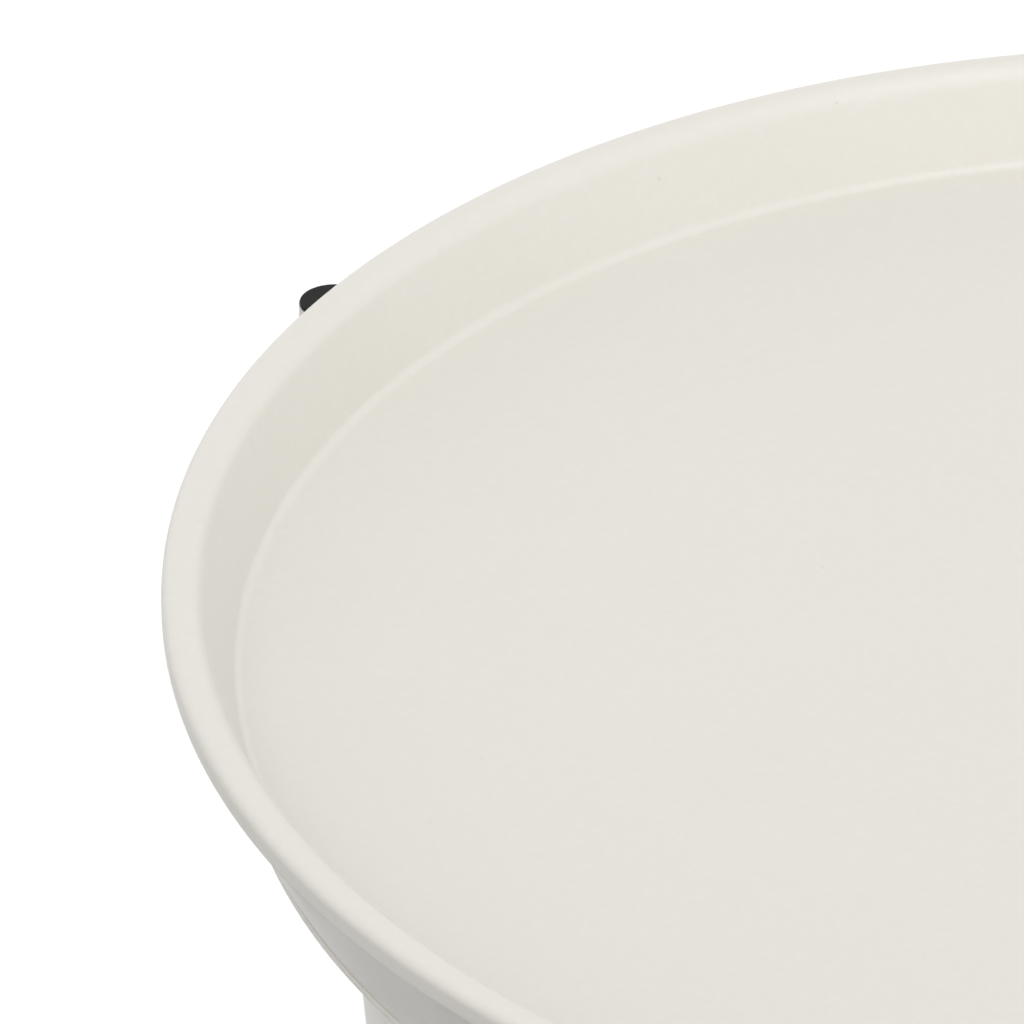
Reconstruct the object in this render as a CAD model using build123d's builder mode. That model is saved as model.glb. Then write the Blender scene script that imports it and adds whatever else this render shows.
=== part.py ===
from build123d import *
from math import asin, atan2, cos, degrees, hypot, radians, sin, tan
import os

# Round pedal bin: a tapered steel body, a dished lid with a raised rim and a
# conical skirt, a lift-out bucket, and a foot lever that raises the lid
# through a rod behind the body. Z is up, the origin is the centre of the base
# on the floor, the pedal points to -Y and the lid's hinge is at +Y.

# ---------------------------------------------------------------- dimensions
total_height = 400.0     # floor to the top of the lid's rim
rim_radius = 150.0       # widest radius, at the rolled edge of the lid
sheet = 1.0              # thickness of the painted sheet steel

# Lid section
roll_radius = 1.8        # tight outer edge of the rim
land_radius = 4.0        # rounded land between the outer edge and the wall
wall_slope = 70.0        # dish wall, degrees above the horizontal
dish_drop = 12.45        # dish floor below the centre of the rolled edge
foot_fillet = 1.6        # where the dish wall meets the floor
rim_edge = 1.6           # upright face under the rolled edge
lip_radius = 1.2         # curl under that face
skirt_lean = 26.8        # skirt, degrees from the vertical
skirt_drop = 22.35       # bottom of the skirt below the centre of the rolled edge
hem_bead = 0.9           # radius of the curled lower edge of the skirt

# Body section
mouth_radius = 127.1     # outside of the body's wall at the skirt's lower edge
body_taper = 4.85        # each side, degrees
body_foot_z = 5.0
mouth_bead = 2.0         # radius of the rolled mouth
lever_slot = (26.0, 9.5, 37.0)   # width, lowest z and highest z

# Base
foot_height = 3.0
base_ring_top = 9.0
floor_z = 38.0           # underside of the body's raised floor

# Bucket
bucket_gap = 4.5         # between the body's wall and the bucket
bucket_wall = 1.8
bucket_foot_z = 42.0
bucket_flange_radius = 130.5
bucket_flange = 2.0
rest_gap = 0.3           # between a moving or lift-out piece and its seat

# Bail handle of the bucket
bail_z = 371.0
bail_radius = 112.0
bail_wire = 2.0          # radius of the wire
bail_tip = 123.0         # how far the ends reach through the bucket's wall

# Hinge at the back of the lid
post_radius = 5.1
post_x = 22.0
cap_radius = 5.0
cap_height = 0.4         # how far each post's cap stands above its tube
cap_plug = (3.0, 5.0)    # radius and depth of the part inside the tube
hinge_y = 158.9
hinge_z = 374.0
post_top_z = 386.5       # top of the black cap on each post
pin_radius = 2.5
running_gap = 0.05       # radial gap of a pin in its bore
lid_opening = 76.0       # degrees

# Foot lever
pivot_z = 22.0
lever_width = 22.0
lever_sheet = 3.0
pedal_size = (66.0, 36.0, 2.0)
pad_size = (58.0, 28.0, 3.0)

# Lift rod: its bottom and top ends are bent sideways into slots
rod_radius = 2.5
rod_bend = 5.0
rod_foot = (110.0, 19.0)         # y and z of the lower end
crank_reach = 14.4               # from the hinge to the rod's upper end, along y
slot_play = 0.35                 # beside the rod's end in a slot
cheek_x = (11.5, 14.5)           # inner and outer face of each lid cheek
ear_x = (7.5, 10.5)              # inner and outer face of the lever's ear

# ------------------------------------------------------------ worked-out sizes
roll_centre = (rim_radius - roll_radius, total_height - roll_radius)
land_centre = (roll_centre[0], total_height - land_radius)
dish_floor_z = roll_centre[1] - dish_drop
lid_underside_z = dish_floor_z - sheet
hem_z = roll_centre[1] - skirt_drop
mouth_z = hem_z + 1.35           # centre of the rolled mouth, hidden by the skirt
bucket_flange_z = mouth_z + mouth_bead + rest_gap
seal_foot_z = bucket_flange_z + bucket_flange + 0.5


def body_radius(z):
    """Outside radius of the tapered body at height z."""
    return mouth_radius - (hem_z - z) * tan(radians(body_taper))


def bucket_radius(z):
    """Outside radius of the bucket at height z."""
    return body_radius(z) - sheet - bucket_gap


def on_circle(centre, radius, angle):
    """Point of a circle in the section plane, angle in degrees."""
    return (centre[0] + radius * cos(radians(angle)), centre[1] + radius * sin(radians(angle)))


def section_plane(azimuth):
    """Upright plane through the Z axis, with its x direction at the azimuth."""
    a = radians(azimuth)
    return Plane(origin=(0, 0, 0), x_dir=(cos(a), sin(a), 0), z_dir=(sin(a), -cos(a), 0))


def across(x):
    """Plane facing +X at x, with y and z as its own axes."""
    return Plane.YZ.offset(x)


def turned(point, pivot, angle):
    """A (y, z) point turned about a pivot, degrees, positive from +Y towards +Z."""
    a = radians(angle)
    dy, dz = point[0] - pivot[0], point[1] - pivot[1]
    return (pivot[0] + dy * cos(a) - dz * sin(a), pivot[1] + dy * sin(a) + dz * cos(a))


# The rod's upper end lies below the hinge's level with the lid closed and as
# far above it, measured as an angle, with the lid open.
half_turn = lid_opening / 2
hinge = (hinge_y, hinge_z)
pivot = (0.0, pivot_z)
rod_head = (hinge_y - crank_reach, hinge_z - crank_reach * tan(radians(half_turn)))
rod_lean = atan2(rod_head[0] - rod_foot[0], rod_head[1] - rod_foot[1])
crank_rise = 2 * crank_reach * tan(radians(half_turn))
rod_travel = crank_rise / (cos(rod_lean) + sin(rod_lean) * tan(radians(half_turn)))
lever_arm = hypot(rod_foot[0] - pivot[0], rod_foot[1] - pivot[1])
lever_drop = rod_foot[1] - pivot[1]
lever_rise = lever_drop + rod_travel * cos(rod_lean)
pedal_travel = degrees(asin(lever_rise / lever_arm) - asin(lever_drop / lever_arm))


def rod_point(start, share):
    """Where a (y, z) point of the rod is after a share of its travel."""
    step = rod_travel * share
    return (start[0] + step * sin(rod_lean), start[1] + step * cos(rod_lean))


def slot_of(start, centre, turn):
    """Ends and half width of the slot that an end of the rod slides in.

    The slot turns about centre by turn degrees over the rod's whole travel.
    """
    steps = [n / 20 for n in range(21)]
    path = [turned(rod_point(start, s), centre, -turn * s) for s in steps]
    away = sorted(path, key=lambda p: hypot(p[0] - centre[0], p[1] - centre[1]))
    near, far = away[0], away[-1]
    length = hypot(far[0] - near[0], far[1] - near[1])
    along = ((far[0] - near[0]) / length, (far[1] - near[1]) / length)
    drift = max(abs((p[0] - near[0]) * along[1] - (p[1] - near[1]) * along[0]) for p in path)
    return near, far, rod_radius + slot_play + drift


crank_near, crank_far, crank_half = slot_of(rod_head, hinge, -lid_opening)
ear_near, ear_far, ear_half = slot_of(rod_foot, pivot, pedal_travel)
print(f"rod travel {rod_travel:.4f} mm, rod lean {degrees(rod_lean):.4f} deg")
print(f"pedal travel {pedal_travel:.4f} deg")


def capsule(near, far, radius):
    """Sketch on the current plane: everything within radius of a line."""
    middle = ((near[0] + far[0]) / 2, (near[1] + far[1]) / 2)
    angle = degrees(atan2(far[1] - near[1], far[0] - near[0]))
    length = hypot(far[0] - near[0], far[1] - near[1])
    with Locations(Location((middle[0], middle[1]), angle)):
        SlotCenterToCenter(length, 2 * radius)


def save(piece, name):
    """Label a finished piece and write it to parts/."""
    piece.part.label = name
    export_step(piece.part, f"parts/{name}.step")


# ------------------------------------------------------------------------ lid
with BuildPart() as lid_shell:
    with BuildSketch(Plane.XZ) as lid_section:
        with BuildLine():
            wall_top = on_circle(land_centre, land_radius, 90 + wall_slope)
            wall_run = (wall_top[1] - dish_floor_z) / tan(radians(wall_slope))
            foot = (wall_top[0] - wall_run, dish_floor_z)
            crest = (roll_centre[0], total_height)
            edge_top = (rim_radius, roll_centre[1])
            edge_foot = (rim_radius, roll_centre[1] - rim_edge)
            lip_centre = (rim_radius - lip_radius, edge_foot[1])
            skirt_top = (lip_centre[0], lip_centre[1] - lip_radius)
            skirt_run = (skirt_top[1] - hem_z - hem_bead) * tan(radians(skirt_lean))
            hem = (skirt_top[0] - skirt_run, hem_z + hem_bead)
            Line((0, dish_floor_z), foot)
            Line(foot, wall_top)
            CenterArc(land_centre, land_radius, 90, wall_slope)
            CenterArc(roll_centre, roll_radius, 0, 90)
            Line(edge_top, edge_foot)
            CenterArc(lip_centre, lip_radius, -90, 90)
            Line(skirt_top, hem)
            # the other face of the sheet
            inner_wall_top = on_circle(land_centre, land_radius - sheet, 90 + wall_slope)
            inner_run = (inner_wall_top[1] - lid_underside_z) / tan(radians(wall_slope))
            inner_foot = (inner_wall_top[0] - inner_run, lid_underside_z)
            inner_skirt_top = on_circle(roll_centre, roll_radius - sheet, -skirt_lean)
            inner_hem_x = hem[0] - sheet * cos(radians(skirt_lean))
            inner_hem = (inner_hem_x, hem[1] + sheet * sin(radians(skirt_lean)))
            Line(hem, inner_hem)
            Line(inner_hem, inner_skirt_top)
            CenterArc(roll_centre, roll_radius - sheet, -skirt_lean, 90 + skirt_lean)
            CenterArc(land_centre, land_radius - sheet, 90, wall_slope)
            Line(inner_wall_top, inner_foot)
            Line(inner_foot, (0, lid_underside_z))
            Line((0, lid_underside_z), (0, dish_floor_z))
        make_face()
        feet = lid_section.vertices().sort_by_distance((foot[0], foot[1], 0))[0:1]
        fillet(feet, foot_fillet)
        inner_feet = lid_section.vertices().sort_by_distance((inner_foot[0], inner_foot[1], 0))[0:1]
        fillet(inner_feet, foot_fillet + sheet)
        with Locations(((hem[0] + inner_hem[0]) / 2, hem[1])):
            Circle(hem_bead)
    revolve(axis=Axis.Z)
save(lid_shell, "lid_shell")

seal_radius = 126.0
seal_width = 5.0
with BuildPart() as lid_seal:
    with BuildSketch(Plane.XZ):
        with Locations((seal_radius, (seal_foot_z + lid_underside_z) / 2)):
            Rectangle(seal_width, lid_underside_z - seal_foot_z)
    revolve(axis=Axis.Z)
    # room for the hinge bracket
    with Locations((0, seal_radius, lid_underside_z)):
        Box(2 * cheek_x[1] + seal_width, 4 * seal_width, 4 * seal_width, mode=Mode.SUBTRACT)
save(lid_seal, "lid_seal")

# Steel bracket: a flange under the dish and two cheeks that drop between the
# body's mouth and the skirt, then run out to the hinge pin
flange_y = (98.0, 135.6)
flange_sheet = 1.5
cheek_top = bucket_flange_z + bucket_flange + 0.65
drop_y = 132.0           # inner edge of the cheeks, clear of the body's mouth
hem_gap_z = hem_z - 1.2  # the cheeks pass under the skirt here
pin_boss = 5.5           # radius of a plate round a pin
crank_rim = 2.5          # plate left round the crank's slot
with BuildPart() as lid_bracket:
    with BuildSketch(Plane.XY.offset(lid_underside_z)):
        with Locations((0, sum(flange_y) / 2)):
            RectangleRounded(2 * cheek_x[1], flange_y[1] - flange_y[0], 4)
    extrude(amount=-flange_sheet)
    with BuildSketch(across(-cheek_x[1])) as cheek_outline:
        with BuildLine():
            Polyline(
                (flange_y[0] + 6, lid_underside_z),
                (flange_y[1], lid_underside_z),
                (flange_y[1], hem_gap_z),
                (hinge_y, hem_gap_z + 2),
                (hinge_y, hinge_z - 5),
                (drop_y + 2, hinge_z - 6),
                (drop_y, hinge_z - 4),
                (drop_y, cheek_top),
                (flange_y[0] + 6, cheek_top),
                close=True,
            )
        make_face()
        with Locations(hinge):
            Circle(pin_boss)
            Circle(pin_radius + running_gap, mode=Mode.SUBTRACT)
    extrude(amount=cheek_x[1] - cheek_x[0])
    mirror(about=Plane.YZ)
    # crank paddle on the +X cheek, with the slot for the rod's upper end
    with BuildSketch(across(cheek_x[0])):
        capsule(hinge, crank_far, crank_half + crank_rim)
    extrude(amount=cheek_x[1] - cheek_x[0])
    with BuildSketch(across(cheek_x[0])):
        capsule(crank_near, crank_far, crank_half)
        with Locations(hinge):
            Circle(pin_radius + running_gap)
    extrude(amount=cheek_x[1] - cheek_x[0], mode=Mode.SUBTRACT)
save(lid_bracket, "lid_bracket")

# ----------------------------------------------------------------------- body
rivet_radius = 2.0
rivet_head = 3.6         # radius of a rivet's closing head
rivet_head_height = 1.2
hinge_rivet_turn = 4.2    # degrees each side of the back
hinge_rivet_z = (332.0, 356.0)
guide_z = (92.0, 300.0)


def wall_frame(z, turn=0.0):
    """Plane on the back of the body at height z, facing outwards.

    turn moves it round the body, in degrees from the back.
    """
    lean, a = radians(body_taper), radians(90 + turn)
    return Plane(
        origin=(body_radius(z) * cos(a), body_radius(z) * sin(a), z),
        x_dir=(sin(a), -cos(a), 0),
        z_dir=(cos(lean) * cos(a), cos(lean) * sin(a), -sin(lean)),
    )


guide_places = [wall_frame(z) for z in guide_z]
bracket_turns = (-hinge_rivet_turn, hinge_rivet_turn)
bracket_places = [wall_frame(z, turn) for z in hinge_rivet_z for turn in bracket_turns]


with BuildPart() as outer_body:
    with BuildSketch(Plane.XZ):
        with BuildLine():
            Polyline(
                (body_radius(body_foot_z), body_foot_z),
                (body_radius(mouth_z), mouth_z),
                (body_radius(mouth_z) - sheet, mouth_z),
                (body_radius(body_foot_z) - sheet, body_foot_z),
                close=True,
            )
        make_face()
        with Locations((body_radius(mouth_z) + mouth_bead / 2, mouth_z)):
            Circle(mouth_bead)
    revolve(axis=Axis.Z)
    # lever slots at the front and the back
    with BuildSketch(Plane.XZ.offset(-mouth_radius)):
        with Locations((0, (lever_slot[1] + lever_slot[2]) / 2)):
            RectangleRounded(lever_slot[0], lever_slot[2] - lever_slot[1], 4)
    extrude(amount=2 * mouth_radius, mode=Mode.SUBTRACT)
    for place in guide_places + bracket_places:
        with BuildSketch(place):
            Circle(rivet_radius)
        extrude(amount=4, both=True, mode=Mode.SUBTRACT)
save(outer_body, "outer_body")

rivet_grid = (16.0, 18.0)
floor_flange = 6.0       # height of the floor's turned-up edge
with BuildPart() as floor_plate:
    with BuildSketch(Plane.XZ):
        with BuildLine():
            edge = floor_z + floor_flange
            Polyline(
                (0, floor_z),
                (body_radius(floor_z) - sheet, floor_z),
                (body_radius(edge) - sheet, edge),
                (body_radius(edge) - 2 * sheet, edge),
                (body_radius(floor_z + sheet) - 2 * sheet, floor_z + sheet),
                (0, floor_z + sheet),
                close=True,
            )
        make_face()
    revolve(axis=Axis.Z)
    with GridLocations(*rivet_grid, 2, 2):
        Hole(rivet_radius)
save(floor_plate, "floor_plate")

ring_bore = 84.0
ring_lip = 2.4           # thickness of the ring outside the body's wall
ring_web_z = body_foot_z + 0.6
inner_lip_z = body_foot_z + 3.0
with BuildPart() as base_ring:
    with BuildSketch(Plane.XZ):
        with BuildLine():
            inner = body_radius(body_foot_z) - sheet
            Polyline(
                (ring_bore, foot_height),
                (body_radius(body_foot_z) + ring_lip, foot_height),
                (body_radius(base_ring_top) + ring_lip, base_ring_top),
                (body_radius(base_ring_top), base_ring_top),
                (body_radius(body_foot_z), body_foot_z),
                (inner, body_foot_z),
                (body_radius(inner_lip_z) - sheet, inner_lip_z),
                (inner - 2, inner_lip_z),
                (inner - 2, ring_web_z),
                (ring_bore, ring_web_z),
                close=True,
            )
        make_face()
    revolve(axis=Axis.Z)
    top_edges = base_ring.edges().filter_by(GeomType.CIRCLE).group_by(SortBy.RADIUS)[-1]
    fillet(top_edges, 0.8)
save(base_ring, "base_ring")

foot_circle = 89.5       # the four rubber feet stand on it
foot_radius = 5.5
with BuildPart() as rubber_feet:
    with PolarLocations(foot_circle, 4, 45):
        Cylinder(foot_radius, foot_height, align=(Align.CENTER, Align.CENTER, Align.MIN))
    chamfer(rubber_feet.edges().group_by(Axis.Z)[0], 0.6)
save(rubber_feet, "rubber_feet")

# ---------------------------------------------------------------------- lever
saddle_x = (13.5, 15.5)  # inner and outer face of each upright
saddle_sheet = 1.5
clip_radius = 4.2
with BuildPart() as lever_saddle:
    with BuildSketch(Plane.XY.offset(floor_z)):
        RectangleRounded(38, 30, 3)  # a flange riveted under the floor
    extrude(amount=-saddle_sheet)
    for side in (-1, 1):
        with BuildSketch(across(side * sum(saddle_x) / 2)):
            with BuildLine():
                Polyline(
                    (-10, floor_z - 1),
                    (10, floor_z - 1),
                    (5.5, pivot_z),
                    (-5.5, pivot_z),
                    close=True,
                )
            make_face()
            with Locations(pivot):
                Circle(pin_boss)
                Circle(pin_radius + running_gap, mode=Mode.SUBTRACT)
        extrude(amount=(saddle_x[1] - saddle_x[0]) / 2, both=True)
    with GridLocations(*rivet_grid, 2, 2):
        Hole(rivet_radius)
save(lever_saddle, "lever_saddle")

upwards = (Align.CENTER, Align.CENTER, Align.MIN)
downwards = (Align.CENTER, Align.CENTER, Align.MAX)
with BuildPart() as saddle_rivets:
    with GridLocations(*rivet_grid, 2, 2):
        with Locations((0, 0, floor_z - saddle_sheet)):
            Cylinder(rivet_radius, saddle_sheet + sheet, align=upwards)
            Cylinder(rivet_head, rivet_head_height, align=downwards)
        with Locations((0, 0, floor_z + sheet)):
            Cylinder(rivet_head, rivet_head_height, align=upwards)
    chamfer(saddle_rivets.edges().group_by(Axis.Z)[-1], 0.5)
save(saddle_rivets, "saddle_rivets")

with BuildPart() as lever_pin:
    with BuildSketch(across(-saddle_x[1] - 1.5)):
        with Locations(pivot):
            Circle(pin_radius)
    extrude(amount=2 * saddle_x[1] + 3)
    with BuildSketch(across(saddle_x[1])):
        with Locations(pivot):
            Circle(4)
    extrude(amount=2)
save(lever_pin, "lever_pin")

with BuildPart() as lever_clip:
    with BuildSketch(across(-saddle_x[1])):
        with Locations(pivot):
            Circle(clip_radius)
            Circle(pin_radius, mode=Mode.SUBTRACT)
    extrude(amount=-1)
save(lever_clip, "lever_clip")

sleeve_radius = 5.0
lever_back = (121.0, 13.5)
pedal_front = -(hinge_y + post_radius)
lever_front = (pedal_front + 3, 39.5)
lever_bend = (-98.0, 33.0)
lever_line = [lever_back, (0.0, 18.5), (-55.0, 21.5), lever_bend, lever_front]
with BuildPart() as pedal_lever:
    with BuildSketch(across(-lever_width / 2)):
        with BuildLine():
            under = [(y, z - lever_sheet) for y, z in reversed(lever_line)]
            Polyline(*lever_line, *under, close=True)
        make_face()
    extrude(amount=lever_width)
    sleeve_x = saddle_x[0] - 0.4
    with BuildSketch(across(-sleeve_x)):
        with Locations(pivot):
            Circle(sleeve_radius)
    extrude(amount=2 * sleeve_x)
    with BuildSketch(across(-sleeve_x)):
        with Locations(pivot):
            Circle(pin_radius + running_gap)
    extrude(amount=2 * sleeve_x, mode=Mode.SUBTRACT)
    # upright ear at the back, slotted for the rod's lower end
    with BuildSketch(across(ear_x[0])):
        ear_reach = ear_half + 2.2
        capsule(ear_near, ear_far, ear_reach)
        with Locations(((ear_near[0] + ear_far[0]) / 2, lever_back[1] + 1)):
            Rectangle(ear_far[0] - ear_near[0] + 2 * ear_reach, 5)
    extrude(amount=ear_x[1] - ear_x[0])
    with BuildSketch(across(ear_x[0])):
        capsule(ear_near, ear_far, ear_half)
    extrude(amount=ear_x[1] - ear_x[0], mode=Mode.SUBTRACT)
save(pedal_lever, "pedal_lever")

pedal_tilt = atan2(lever_front[1] - lever_bend[1], lever_bend[0] - lever_front[0])
pedal_mid_y = pedal_front + pedal_size[1] / 2 * cos(pedal_tilt)
pedal_mid = (pedal_mid_y, lever_bend[1] + (lever_bend[0] - pedal_mid_y) * tan(pedal_tilt))
pedal_plane = Plane(
    origin=(0, pedal_mid[0], pedal_mid[1]),
    x_dir=(1, 0, 0),
    z_dir=(0, sin(pedal_tilt), cos(pedal_tilt)),
)
with BuildPart() as pedal_plate:
    with BuildSketch(pedal_plane):
        RectangleRounded(pedal_size[0], pedal_size[1], 8)
    extrude(amount=pedal_size[2])
    fillet(pedal_plate.faces().sort_by(Axis.Z)[-1].edges(), 0.8)
save(pedal_plate, "pedal_plate")

groove = (2.0, 1.2)      # width and depth of the pad's grooves
groove_pitch = 5.0
with BuildPart() as pedal_pad:
    with BuildSketch(pedal_plane.offset(pedal_size[2])):
        RectangleRounded(pad_size[0], pad_size[1], 6)
    extrude(amount=pad_size[2])
    with BuildSketch(pedal_plane.offset(pedal_size[2] + pad_size[2])):
        with GridLocations(0, groove_pitch, 1, 5):
            SlotOverall(pad_size[0] - 2 * groove_pitch, groove[0])
    extrude(amount=-groove[1], mode=Mode.SUBTRACT)
save(pedal_pad, "pedal_pad")

# ------------------------------------------------------------------- lift rod
tip_reach = 3.5          # how far each end stands out past its slotted plate
head_tip_x = cheek_x[1] + tip_reach
foot_tip_x = ear_x[1] + tip_reach
with BuildPart() as lift_rod:
    with BuildLine() as rod_path:
        FilletPolyline(
            (foot_tip_x, rod_foot[0], rod_foot[1]),
            (0, rod_foot[0], rod_foot[1]),
            (0, rod_head[0], rod_head[1]),
            (head_tip_x, rod_head[0], rod_head[1]),
            radius=rod_bend,
        )
    with BuildSketch(Plane(origin=rod_path.line @ 0, z_dir=rod_path.line % 0)):
        Circle(rod_radius)
    sweep()
save(lift_rod, "lift_rod")

rod_clip = (5.2, 1.2)    # radius and thickness
with BuildPart() as rod_clips:
    for plate_face, end in ((cheek_x[1], rod_head), (ear_x[1], rod_foot)):
        with BuildSketch(across(plate_face + rod_clip[1] / 2)):
            with Locations(end):
                Circle(rod_clip[0])
                Circle(rod_radius, mode=Mode.SUBTRACT)
        extrude(amount=rod_clip[1])
save(rod_clips, "rod_clips")


def rod_frame(z):
    """Plane square to the rod where it passes height z."""
    y = rod_foot[0] + (z - rod_foot[1]) * tan(rod_lean)
    return Plane(origin=(0, y, z), x_dir=(1, 0, 0), z_dir=(0, sin(rod_lean), cos(rod_lean)))


with BuildPart() as body_cone:
    with BuildSketch(Plane.XZ):
        with BuildLine():
            Polyline((0, 0), (body_radius(0), 0), (body_radius(380), 380), (0, 380), close=True)
        make_face()
    revolve(axis=Axis.Z)

guide_height = 14.0
guide_wall = 3.5
rivet_reach = 4.0        # how far a guide's rivet runs into it from the wall
with BuildPart() as rod_guides:
    for z in guide_z:
        frame = rod_frame(z)
        reach = frame.origin.Y - body_radius(z) + 3
        with BuildSketch(frame.offset(-guide_height / 2)):
            Circle(rod_radius + guide_wall)
            with Locations((0, -reach / 2)):
                Rectangle(2 * (rod_radius + guide_wall), reach)
        extrude(amount=guide_height)
        with BuildSketch(frame.offset(-guide_height / 2)):
            Circle(rod_radius + rest_gap)
        extrude(amount=guide_height, mode=Mode.SUBTRACT)
        with BuildSketch(wall_frame(z)):
            Circle(rivet_radius)
        extrude(amount=rivet_reach, both=True, mode=Mode.SUBTRACT)
    add(body_cone.part, mode=Mode.SUBTRACT)
save(rod_guides, "rod_guides")

head_gap = 0.1           # a flat head clears the curved wall
with BuildPart() as guide_rivets:
    for z in guide_z:
        with BuildSketch(wall_frame(z).offset(-sheet - head_gap)):
            Circle(rivet_radius)
        extrude(amount=head_gap + sheet + rivet_reach - rest_gap)
        with BuildSketch(wall_frame(z).offset(-sheet - head_gap)):
            Circle(rivet_head)
        extrude(amount=-rivet_head_height)
save(guide_rivets, "guide_rivets")

# ---------------------------------------------------------------------- hinge
arm_z = 344.0
arm_bend = 12.0
plate_sheet = 2.0
plate_half_angle = 14.5
plate_z = (322.0, 366.0)
plate_corner = 7.0
dome_radius = 3.8        # outside heads of the plate's rivets
dome_height = 1.6
with BuildPart() as hinge_bracket:
    with BuildSketch(section_plane(90 - plate_half_angle)):
        with BuildLine():
            low, high = plate_z
            Polyline(
                (body_radius(low), low),
                (body_radius(low) + plate_sheet, low),
                (body_radius(high) + plate_sheet, high),
                (body_radius(high), high),
                close=True,
            )
        make_face()
    revolve(axis=Axis.Z, revolution_arc=2 * plate_half_angle)
    corners = hinge_bracket.edges().filter_by(lambda edge: edge.length < 1.5 * plate_sheet)
    fillet(corners, plate_corner)
    for x in (-post_x, post_x):
        with BuildLine() as arm_path:
            FilletPolyline(
                (x, body_radius(arm_z) - 6, arm_z),
                (x, hinge_y, arm_z),
                (x, hinge_y, post_top_z - cap_height),
                radius=arm_bend,
            )
        with BuildSketch(Plane(origin=arm_path.line @ 0, z_dir=arm_path.line % 0)):
            Circle(post_radius)
        sweep()
    add(body_cone.part, mode=Mode.SUBTRACT)
    with BuildSketch(across(-post_x - 6)):
        with Locations(hinge):
            Circle(pin_radius + running_gap)
    extrude(amount=2 * post_x + 12, mode=Mode.SUBTRACT)
    with BuildSketch(Plane.XY.offset(post_top_z - cap_height)):
        with Locations((-post_x, hinge_y), (post_x, hinge_y)):
            Circle(cap_plug[0] + 0.1)
    extrude(amount=-cap_plug[1] - 1, mode=Mode.SUBTRACT)
    for place in bracket_places:
        with BuildSketch(place):
            Circle(rivet_radius)
        extrude(amount=4, both=True, mode=Mode.SUBTRACT)
save(hinge_bracket, "hinge_bracket")

with BuildPart() as bracket_rivets:
    for place in bracket_places:
        with BuildSketch(place.offset(-sheet - rest_gap)):
            Circle(rivet_radius)
        extrude(amount=sheet + plate_sheet + 2 * rest_gap)
        with BuildSketch(place.offset(plate_sheet + 0.2)):
            Circle(dome_radius)
        extrude(amount=dome_height, taper=25)
        with BuildSketch(place.offset(-sheet - rest_gap)):
            Circle(rivet_head)
        extrude(amount=-rivet_head_height)
save(bracket_rivets, "bracket_rivets")

with BuildPart() as post_caps:
    with BuildSketch(Plane.XY.offset(post_top_z)):
        with Locations((-post_x, hinge_y), (post_x, hinge_y)):
            Circle(cap_radius)
    extrude(amount=-cap_height)
    fillet(post_caps.edges().group_by(Axis.Z)[-1], cap_height / 2)
    with BuildSketch(Plane.XY.offset(post_top_z - cap_height)):
        with Locations((-post_x, hinge_y), (post_x, hinge_y)):
            Circle(cap_plug[0])
    extrude(amount=-cap_plug[1])
save(post_caps, "post_caps")

post_face = post_x + post_radius
with BuildPart() as hinge_pin:
    with BuildSketch(across(-post_face - 1.8)):
        with Locations(hinge):
            Circle(pin_radius)
    extrude(amount=2 * post_face + 1.8)
    with BuildSketch(across(post_face)):
        with Locations(hinge):
            Circle(4.0)
    extrude(amount=2)
    fillet(hinge_pin.edges().group_by(Axis.X)[-1], 0.8)
save(hinge_pin, "hinge_pin")

with BuildPart() as hinge_clip:
    with BuildSketch(across(-post_face)):
        with Locations(hinge):
            Circle(clip_radius)
            Circle(pin_radius, mode=Mode.SUBTRACT)
    extrude(amount=-1)
save(hinge_clip, "hinge_clip")

bush_radius = 4.4
bush_gap = 0.1           # at each end of a bush
with BuildPart() as hinge_bushes:
    bush_length = post_x - post_radius - cheek_x[1] - 2 * bush_gap
    for x in (cheek_x[1] + bush_gap, -cheek_x[1] - bush_gap - bush_length):
        with BuildSketch(across(x)):
            with Locations(hinge):
                Circle(bush_radius)
                Circle(pin_radius + running_gap, mode=Mode.SUBTRACT)
        extrude(amount=bush_length)
save(hinge_bushes, "hinge_bushes")

# --------------------------------------------------------------------- bucket
bucket_floor = 2.0
rest_face = 108.0        # inner ends of the bail's rests
rest_depth = 10.0
rest_turn = 6.0          # degrees of the wall that each rest covers
with BuildPart() as bucket:
    with BuildSketch(Plane.XZ) as bucket_section:
        with BuildLine():
            inside_foot_z = bucket_foot_z + bucket_floor
            rim_z = bucket_flange_z + bucket_flange
            Polyline(
                (0, bucket_foot_z),
                (bucket_radius(bucket_foot_z), bucket_foot_z),
                (bucket_radius(bucket_flange_z), bucket_flange_z),
                (bucket_flange_radius, bucket_flange_z),
                (bucket_flange_radius, rim_z),
                (bucket_radius(rim_z) - bucket_wall, rim_z),
                (bucket_radius(inside_foot_z) - bucket_wall, inside_foot_z),
                (0, inside_foot_z),
                close=True,
            )
        make_face()
        outside_foot = (bucket_radius(bucket_foot_z), bucket_foot_z, 0)
        fillet(bucket_section.vertices().sort_by_distance(outside_foot)[0:1], 6)
        inside_foot = (bucket_radius(inside_foot_z) - bucket_wall, inside_foot_z, 0)
        fillet(bucket_section.vertices().sort_by_distance(inside_foot)[0:1], 4.5)
    revolve(axis=Axis.Z)
    # rests for the folded bail
    rest_z = bail_z - bail_wire - rest_gap
    for azimuth in (232, 302):
        with BuildSketch(section_plane(azimuth)):
            with BuildLine():
                Polyline(
                    (rest_face, rest_z),
                    (bucket_radius(rest_z) - 1, rest_z),
                    (bucket_radius(rest_z - rest_depth) - 1, rest_z - rest_depth),
                    (rest_face, rest_z - 3),
                    close=True,
                )
            make_face()
        revolve(axis=Axis.Z, revolution_arc=rest_turn)
    # holes for the bail's ends
    with BuildSketch(across(-bucket_radius(bail_z) - 2)):
        with Locations((0, bail_z)):
            Circle(bail_wire + rest_gap)
    extrude(amount=2 * bucket_radius(bail_z) + 4, mode=Mode.SUBTRACT)
save(bucket, "bucket")

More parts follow.
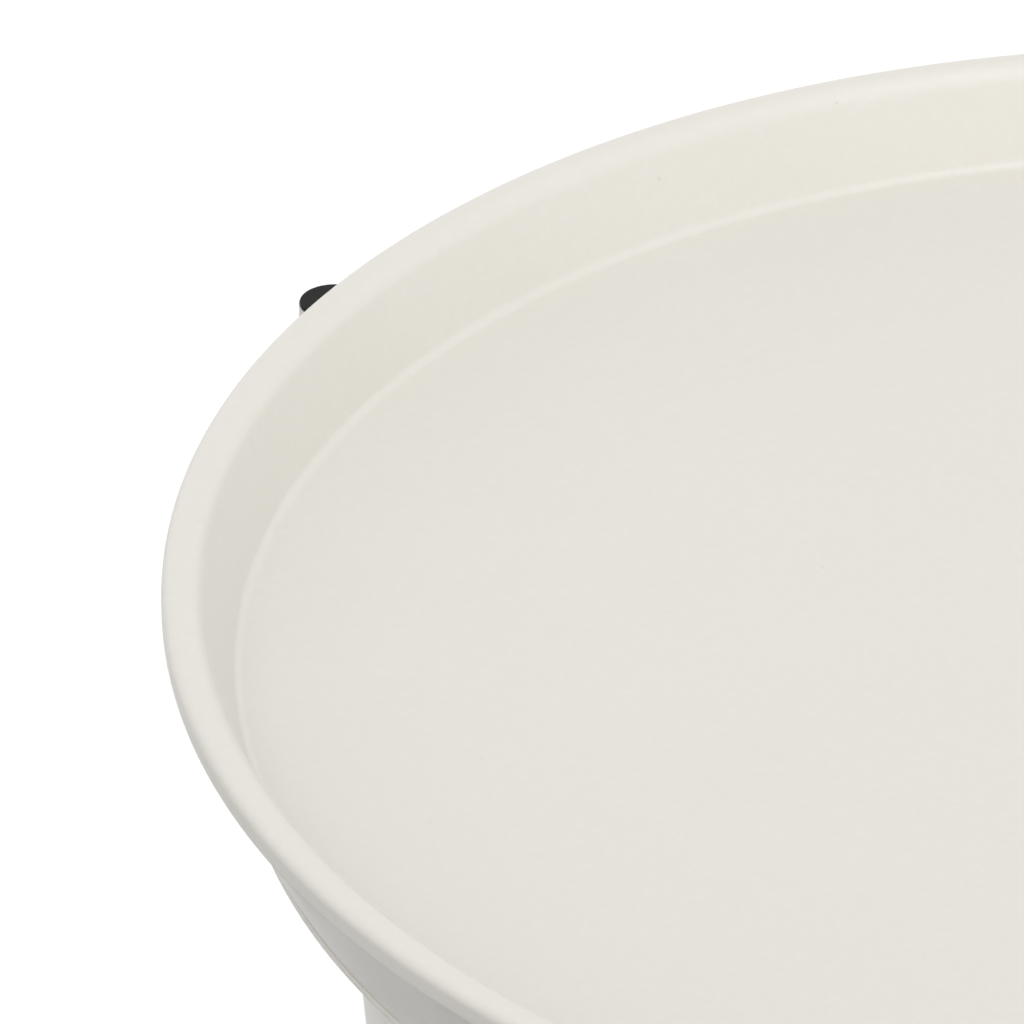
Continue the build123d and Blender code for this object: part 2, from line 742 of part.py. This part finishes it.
with BuildPart() as bail_handle:
    with BuildSketch(section_plane(180)):
        with Locations((bail_radius, bail_z)):
            Circle(bail_wire)
    revolve(axis=Axis.Z, revolution_arc=180)
    for side in (-1, 1):
        with BuildSketch(across(side * (bail_radius - bail_wire))):
            with Locations((0, bail_z)):
                Circle(bail_wire)
        extrude(amount=side * (bail_tip - bail_radius + bail_wire))
save(bail_handle, "bail_handle")

grip_radius = 4.6
grip_turn = 40.0         # degrees of the wire that the grip covers
with BuildPart() as bail_grip:
    with BuildSketch(section_plane(270 - grip_turn / 2)):
        with Locations((bail_radius, bail_z)):
            Circle(grip_radius)
            Circle(bail_wire, mode=Mode.SUBTRACT)
    revolve(axis=Axis.Z, revolution_arc=grip_turn)
save(bail_grip, "bail_grip")
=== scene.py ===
from math import cos, hypot, pi, radians, sin, tan

import bmesh
import bpy
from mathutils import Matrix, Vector


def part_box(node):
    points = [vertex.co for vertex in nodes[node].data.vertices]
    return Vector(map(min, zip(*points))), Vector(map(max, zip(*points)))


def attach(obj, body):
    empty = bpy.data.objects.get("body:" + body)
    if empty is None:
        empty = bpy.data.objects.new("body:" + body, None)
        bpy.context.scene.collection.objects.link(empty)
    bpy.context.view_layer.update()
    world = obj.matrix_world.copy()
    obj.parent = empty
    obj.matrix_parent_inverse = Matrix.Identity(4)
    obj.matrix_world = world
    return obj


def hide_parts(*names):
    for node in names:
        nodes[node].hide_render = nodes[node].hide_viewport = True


# A round pedal bin with a dished lid, painted cream. Lengths are in metres.
# The outlines of the lid and the weld seam start from the boxes of the CAD nodes.

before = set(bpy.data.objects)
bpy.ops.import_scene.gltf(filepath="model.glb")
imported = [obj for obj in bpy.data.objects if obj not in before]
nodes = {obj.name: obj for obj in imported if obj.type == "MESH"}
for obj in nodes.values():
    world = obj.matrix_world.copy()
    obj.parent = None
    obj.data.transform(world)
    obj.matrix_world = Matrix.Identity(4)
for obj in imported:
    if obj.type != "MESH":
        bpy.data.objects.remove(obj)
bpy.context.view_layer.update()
scene = bpy.context.scene

MM = 0.001
lid_low, lid_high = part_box("lid_shell")

# ---------------------------------------------------------------------- camera
# The view looks down on the left rear quarter of the lid, through a long lens.
rim_radius = lid_high.x
roll_radius = 1.8 * MM
rim_level = lid_high.z - roll_radius
camera_pitch = radians(30.797)
camera_heading = radians(-45.427)
camera_distance = 1.22049
camera_aim = Vector((-0.06033, 0.08525, rim_level))

towards = Vector((
    -sin(camera_heading) * cos(camera_pitch),
    cos(camera_heading) * cos(camera_pitch),
    -sin(camera_pitch),
))
camera = bpy.data.objects.new("camera", bpy.data.cameras.new("camera"))
camera.location = camera_aim - camera_distance * towards
camera.rotation_euler = (pi / 2 - camera_pitch, 0, camera_heading)
camera.data.lens = 316.4
camera.data.sensor_width = 36.0
camera.data.clip_start = 0.05
camera.data.clip_end = 200.0
scene.collection.objects.link(camera)
scene.camera = camera
scene.view_settings.view_transform = "Standard"


# ---------------------------------------------------------------------- meshes
def add_mesh(name, mesh):
    """A new object that holds the mesh, in the scene."""
    piece = bpy.data.objects.new(name, mesh)
    scene.collection.objects.link(piece)
    return piece


def lathe(name, outline, segments=400):
    """Turns a closed outline of (radius, height) points about the Z axis."""
    work = bmesh.new()
    turns = [2 * pi * step / segments for step in range(segments)]
    rings = []
    for radius, height in outline:
        if radius == 0:
            rings.append([work.verts.new((0, 0, height))])
            continue
        rings.append([work.verts.new((radius * cos(a), radius * sin(a), height)) for a in turns])
    for ring, following in zip(rings, rings[1:] + rings[:1]):
        if len(ring) == 1 and len(following) == 1:
            continue
        for step in range(segments):
            after = (step + 1) % segments
            corners = [
                ring[step % len(ring)],
                ring[after % len(ring)],
                following[after % len(following)],
                following[step % len(following)],
            ]
            work.faces.new(list(dict.fromkeys(corners)))
    bmesh.ops.recalc_face_normals(work, faces=work.faces)
    for face in work.faces:
        face.smooth = True
    mesh = bpy.data.meshes.new(name)
    work.to_mesh(mesh)
    work.free()
    return add_mesh(name, mesh)


def arc(centre, radius, start, end, steps):
    """Points of an arc from start to end, both in degrees."""
    turns = [radians(start + (end - start) * step / steps) for step in range(steps + 1)]
    return [(centre[0] + radius * cos(a), centre[1] + radius * sin(a)) for a in turns]


def run(start, end, margin=0.4 * MM, steps=1):
    """Points of a straight run between its ends, close to each and evenly between."""
    length = hypot(end[0] - start[0], end[1] - start[1])
    near = margin / length
    shares = [near + (1 - 2 * near) * step / steps for step in range(steps + 1)]
    return [(start[0] + (end[0] - start[0]) * s, start[1] + (end[1] - start[1]) * s) for s in shares]


def finish_piece(piece, body, material, slot, *stands_for):
    """Gives a piece its material and its body, and hides the CAD nodes it stands for; the slot is
    not used.
    """
    piece.data.materials.append(material)
    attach(piece, body)
    if stands_for:
        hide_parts(*stands_for)


# ------------------------------------------------------------------- materials
EDGE_ROUNDING = 0.3 * MM         # how far the shading softens a sharp edge


class Surface:
    """A material that grows by layers of noise, all in the piece's own space."""

    def __init__(self, name, colour, roughness, **sockets):
        self.material = bpy.data.materials.new(name)
        self.material.use_nodes = True
        self.tree = self.material.node_tree
        self.shader = self.tree.nodes["Principled BSDF"]
        self.shader.inputs["Base Color"].default_value = (*colour, 1)
        self.shader.inputs["Roughness"].default_value = roughness
        for socket, value in sockets.items():
            self.shader.inputs[socket.replace("_", " ")].default_value = value
        self.place = self.add("ShaderNodeTexCoord").outputs["Object"]
        self.colour = None
        rounding = self.add("ShaderNodeBevel")
        rounding.samples = 4
        rounding.inputs["Radius"].default_value = EDGE_ROUNDING
        self.normal = rounding.outputs["Normal"]

    def add(self, kind):
        """A new node of the given kind."""
        return self.tree.nodes.new(kind)

    def link(self, source, target):
        """A link from an output socket to an input socket."""
        self.tree.links.new(source, target)

    def noise(self, scale, detail=2.0, stretch=(1, 1, 1), shift=0.0):
        """Noise with scale bumps per metre, squeezed along each axis by stretch."""
        mapping = self.add("ShaderNodeMapping")
        mapping.inputs["Scale"].default_value = stretch
        mapping.inputs["Location"].default_value = (shift, shift, shift)
        texture = self.add("ShaderNodeTexNoise")
        texture.inputs["Scale"].default_value = scale
        texture.inputs["Detail"].default_value = detail
        self.link(self.place, mapping.inputs["Vector"])
        self.link(mapping.outputs["Vector"], texture.inputs["Vector"])
        return texture.outputs["Fac"]

    def remap(self, value, low, high, out_low=0.0, out_high=1.0):
        """A value between low and high taken to the new range."""
        node = self.add("ShaderNodeMapRange")
        for socket, number in (
            ("From Min", low), ("From Max", high), ("To Min", out_low), ("To Max", out_high),
        ):
            node.inputs[socket].default_value = number
        self.link(value, node.inputs["Value"])
        return node.outputs["Result"]

    def tint(self, factor, colour):
        """Mixes in a colour where the factor is high."""
        mix = self.add("ShaderNodeMix")
        mix.data_type = "RGBA"
        if self.colour is None:
            mix.inputs["A"].default_value = self.shader.inputs["Base Color"].default_value
        else:
            self.link(self.colour, mix.inputs["A"])
        mix.inputs["B"].default_value = (*colour, 1)
        self.link(factor, mix.inputs["Factor"])
        self.colour = mix.outputs["Result"]
        self.link(self.colour, self.shader.inputs["Base Color"])

    def polish(self, factor, low, high):
        """Roughness that follows the factor between low and high."""
        self.link(self.remap(factor, 0, 1, low, high), self.shader.inputs["Roughness"])

    def relief(self, height, depth):
        """Bumps of the given depth in metres from a height between 0 and 1."""
        bump = self.add("ShaderNodeBump")
        bump.inputs["Strength"].default_value = 1.0
        bump.inputs["Distance"].default_value = depth
        self.link(height, bump.inputs["Height"])
        self.link(self.normal, bump.inputs["Normal"])
        self.normal = bump.outputs["Normal"]
        self.link(self.normal, self.shader.inputs["Normal"])


def powder_coat():
    """Cream powder coat on steel: a semi-gloss skin with a soft orange peel."""
    coat = Surface("cream_powder_coat", (0.715, 0.692, 0.640), 0.30, Specular_IOR_Level=0.5)
    mottle = coat.noise(38, 4)
    grain = coat.noise(620, 3, shift=3.0)
    speck = coat.noise(700, 1, shift=7.0)
    coat.tint(coat.remap(mottle, 0.10, 0.90, 0, 0.8), (0.700, 0.677, 0.623))
    coat.tint(coat.remap(grain, 0.45, 0.75, 0, 0.35), (0.745, 0.725, 0.680))
    coat.tint(coat.remap(speck, 0.79, 0.83, 0, 0.25), (0.46, 0.42, 0.35))
    coat.polish(coat.noise(90, 3, shift=5.0), 0.30, 0.42)
    coat.relief(coat.noise(420, 2, shift=1.0), 0.020 * MM)
    coat.relief(coat.noise(1500, 2, shift=2.0), 0.004 * MM)
    return coat.material


def moulded(name, colour, dust, roughness, grain_scale=900, shine=0.45):
    """Moulded plastic or rubber with a fine skin and a little dust."""
    skin = Surface(name, colour, roughness, Specular_IOR_Level=shine)
    skin.tint(skin.remap(skin.noise(22, 5), 0.40, 0.75, 0, 0.55), dust)
    skin.tint(skin.remap(skin.noise(grain_scale, 3, shift=4.0), 0.5, 0.75, 0, 0.4), dust)
    skin.polish(skin.noise(70, 3, shift=5.0), roughness - 0.08, roughness + 0.10)
    skin.relief(skin.noise(grain_scale, 3, shift=2.0), 0.012 * MM)
    return skin.material


def drawn_steel(name, stretch=(1, 1, 1)):
    """Zinc-plated steel with fine drawing lines; stretch squeezes the noise across them."""
    metal = Surface(name, (0.60, 0.60, 0.61), 0.32, Metallic=1.0)
    lines = metal.noise(400, 3, stretch)
    cloud = metal.noise(45, 4, shift=6.0)
    metal.tint(metal.remap(cloud, 0.35, 0.7, 0, 0.6), (0.50, 0.51, 0.54))
    metal.tint(metal.remap(metal.noise(18, 3, shift=9.0), 0.55, 0.75, 0, 0.4), (0.58, 0.55, 0.47))
    metal.polish(lines, 0.30, 0.46)
    metal.relief(lines, 0.010 * MM)
    return metal.material


paint = powder_coat()
black_plastic = moulded("black_plastic", (0.020, 0.020, 0.021), (0.045, 0.043, 0.040), 0.42)
cap_black = moulded("cap_black", (0.005, 0.005, 0.005), (0.014, 0.014, 0.013), 0.38, shine=0.10)
bucket_grey = moulded("bucket_grey", (0.060, 0.061, 0.064), (0.085, 0.084, 0.082), 0.45, 600)
rubber = moulded("rubber", (0.022, 0.022, 0.022), (0.060, 0.057, 0.052), 0.62, 1200)
nylon = moulded("nylon", (0.62, 0.61, 0.57), (0.55, 0.53, 0.48), 0.40)
steel = drawn_steel("zinc_steel")
lever_steel = drawn_steel("lever_steel", (8, 0.4, 8))
rod_steel = drawn_steel("rod_steel", (6, 6, 0.3))

finishes = {
    "lid_bracket": paint,
    "outer_body": paint,
    "hinge_bracket": paint,
    "pedal_plate": paint,
    "base_ring": black_plastic,
    "rod_guides": black_plastic,
    "bail_grip": black_plastic,
    "post_caps": cap_black,
    "bucket": bucket_grey,
    "rubber_feet": rubber,
    "pedal_pad": rubber,
    "lid_seal": rubber,
    "hinge_bushes": nylon,
    "pedal_lever": lever_steel,
    "lift_rod": rod_steel,
}
for name, node in nodes.items():
    node.data.materials.clear()
    node.data.materials.append(finishes.get(name, steel))

# ------------------------------------------------------------------------- lid
sheet = 1.0 * MM                 # thickness of the pressed steel
land_radius = 4.0 * MM           # rounded land inside the rolled edge
wall_slope = 70.0                # dish wall, degrees above the horizontal
dish_depth = 12.45 * MM          # dish floor below the centre of the rolled edge
foot_radius = 1.6 * MM           # fillet between the dish wall and the dish floor
rim_edge = 1.6 * MM              # upright face under the rolled edge
lip_radius = 1.2 * MM            # curl under that face
skirt_lean = 26.8                # degrees from the vertical
bead_radius = 0.9 * MM           # rolled hem of the skirt

roll_centre = (rim_radius - roll_radius, rim_level)
land_centre = (roll_centre[0], lid_high.z - land_radius)
lip_centre = (rim_radius - lip_radius, rim_level - rim_edge)
skirt_top = (lip_centre[0], lip_centre[1] - lip_radius)
dish_level = rim_level - dish_depth
bead_level = lid_low.z + bead_radius


def dish_face(offset):
    """Outline of one face of the dish, from its centre out to the crest of the rim.

    The offset is how far that face lies under the upper one.
    """
    slope = radians(wall_slope)
    level = dish_level - offset
    land = arc(land_centre, land_radius - offset, 90 + wall_slope, 90, 24)
    wall_top = land[0]
    corner = wall_top[0] - (wall_top[1] - level) / tan(slope)
    fillet = foot_radius + offset
    reach = fillet * tan(slope / 2)
    floor_end = (corner - reach, level)
    wall_foot = (corner + reach * cos(slope), level + reach * sin(slope))
    points = [(0, level)]
    points += run((0, level), floor_end, steps=24)
    points += arc((corner - reach, level + fillet), fillet, 270, 270 + wall_slope, 10)
    points += run(wall_foot, wall_top, steps=3)
    points += land
    return points


def skirt_face(start):
    """A straight run down the skirt from its start to the level of the bead."""
    end = (start[0] - (start[1] - bead_level) * tan(radians(skirt_lean)), bead_level)
    return run(start, end, steps=6)


outer_face = dish_face(0.0)
outer_face += arc(roll_centre, roll_radius, 90, 0, 16)[1:]
outer_face += run((rim_radius, rim_level), (rim_radius, lip_centre[1]), margin=0.2 * MM)
outer_face += arc(lip_centre, lip_radius, 0, -90, 12)
outer_face += skirt_face(skirt_top)
inner_face = dish_face(sheet)
inner_face += arc(roll_centre, roll_radius - sheet, 90, -skirt_lean, 12)[1:]
inner_face += skirt_face(inner_face[-1])
bead_centre = ((outer_face[-1][0] + inner_face[-1][0]) / 2, bead_level)
bead = arc(bead_centre, bead_radius, 40, -220, 18)
lid = lathe("lid", outer_face + bead + inner_face[::-1])
finish_piece(lid, "lid", paint, "cream_paint", "lid_shell")

# ------------------------------------------------------------------------ body
body_taper = radians(4.85)       # lean of the body's wall from the vertical
body_radius_at_hem = 127.1 * MM  # outside radius at the level of the skirt's hem
seam_foot_level = 40 * MM        # above the lever's slot
seam_top_gap = 1 * MM            # between the seam and the hinge bracket


def body_radius(z):
    """Outside radius of the body's wall at height z."""
    return body_radius_at_hem - (lid_low.z - z) * tan(body_taper)


def weld_seam(width=1.8 * MM, height=0.35 * MM, steps=60):
    """Low weld bead down the back of the rolled wall, between the lever's slot and the hinge."""
    top_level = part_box("hinge_bracket")[0].z - seam_top_gap
    foot = Vector((0, body_radius(seam_foot_level), seam_foot_level))
    top = Vector((0, body_radius(top_level), top_level))
    work = bmesh.new()
    rows = []
    for step in range(steps + 1):
        middle = foot.lerp(top, step / steps)
        row = []
        for turn in range(-90, 91, 30):
            side = width / 2 * sin(radians(turn))
            proud = height * cos(radians(turn))
            row.append(work.verts.new(middle + Vector((side, proud, 0))))
        rows.append(row)
    for low, high in zip(rows, rows[1:]):
        for first in range(len(low) - 1):
            work.faces.new((low[first], low[first + 1], high[first + 1], high[first]))
    for row in rows[:1] + rows[-1:]:
        work.faces.new(row)
    for low, high in zip(rows, rows[1:]):
        work.faces.new((low[0], high[0], high[-1], low[-1]))
    bmesh.ops.recalc_face_normals(work, faces=work.faces)
    mesh = bpy.data.meshes.new("weld_seam")
    work.to_mesh(mesh)
    work.free()
    finish_piece(add_mesh("weld_seam", mesh), "body", paint, "cream_paint")


weld_seam()


# ----------------------------------------------------------------------- stage
def ground(reach=60.0):
    """A pale floor, wide enough to fill every view.

    Diffuse light passes through it, and the studio dome's lower half stands in for its glow.
    """
    mesh = bpy.data.meshes.new("ground")
    corners = [(-reach, -reach, 0), (reach, -reach, 0), (reach, reach, 0), (-reach, reach, 0)]
    mesh.from_pydata(corners, [], [(0, 1, 2, 3)])
    floor = add_mesh("ground", mesh)
    chalk = Surface("pale_floor", (0.97, 0.97, 0.965), 0.9, Specular_IOR_Level=0.1)
    chalk.tint(chalk.remap(chalk.noise(3, 2), 0.3, 0.7), (0.955, 0.955, 0.95))
    mesh.materials.append(chalk.material)
    floor.visible_diffuse = False


def sky(below, horizon, overhead, lamp, lamp_height):
    """Soft studio dome with one broad round lamp, on the camera's side at the given height.

    The first four numbers are the strengths of the dome's parts and of the lamp.
    """
    world = bpy.data.worlds.new("studio")
    world.use_nodes = True
    scene.world = world
    tree = world.node_tree
    background = tree.nodes["Background"]
    background.inputs["Color"].default_value = (1, 1, 1, 1)
    direction = tree.nodes.new("ShaderNodeTexCoord").outputs["Generated"]

    def band(axis, start, end, low, high):
        """Brightness that goes smoothly from low to high with the direction's share of axis."""
        share = tree.nodes.new("ShaderNodeVectorMath")
        share.operation = "DOT_PRODUCT"
        share.inputs[1].default_value = axis
        ramp = tree.nodes.new("ShaderNodeMapRange")
        ramp.interpolation_type = "SMOOTHSTEP"
        for socket, number in (
            ("From Min", start), ("From Max", end), ("To Min", low), ("To Max", high),
        ):
            ramp.inputs[socket].default_value = number
        tree.links.new(direction, share.inputs[0])
        tree.links.new(share.outputs["Value"], ramp.inputs["Value"])
        return ramp.outputs["Result"]

    lamp_axis = Vector((
        sin(camera_heading) * cos(lamp_height),
        -cos(camera_heading) * cos(lamp_height),
        sin(lamp_height),
    ))
    up = (0, 0, 1)
    horizon_blend = 0.04
    overhead_from = 0.8
    lamp_edge = cos(radians(38))
    lamp_core = cos(radians(22))
    layers = [
        band(up, -horizon_blend, horizon_blend, below, horizon),
        band(up, 0.0, overhead_from, 0.0, overhead - horizon),
        band(lamp_axis, lamp_edge, lamp_core, 0.0, lamp),
    ]
    total = layers[0]
    for layer in layers[1:]:
        add = tree.nodes.new("ShaderNodeMath")
        add.operation = "ADD"
        tree.links.new(total, add.inputs[0])
        tree.links.new(layer, add.inputs[1])
        total = add.outputs["Value"]
    tree.links.new(total, background.inputs["Strength"])


ground()
sky(below=0.11, horizon=1.31, overhead=0.62, lamp=1.60, lamp_height=radians(60))
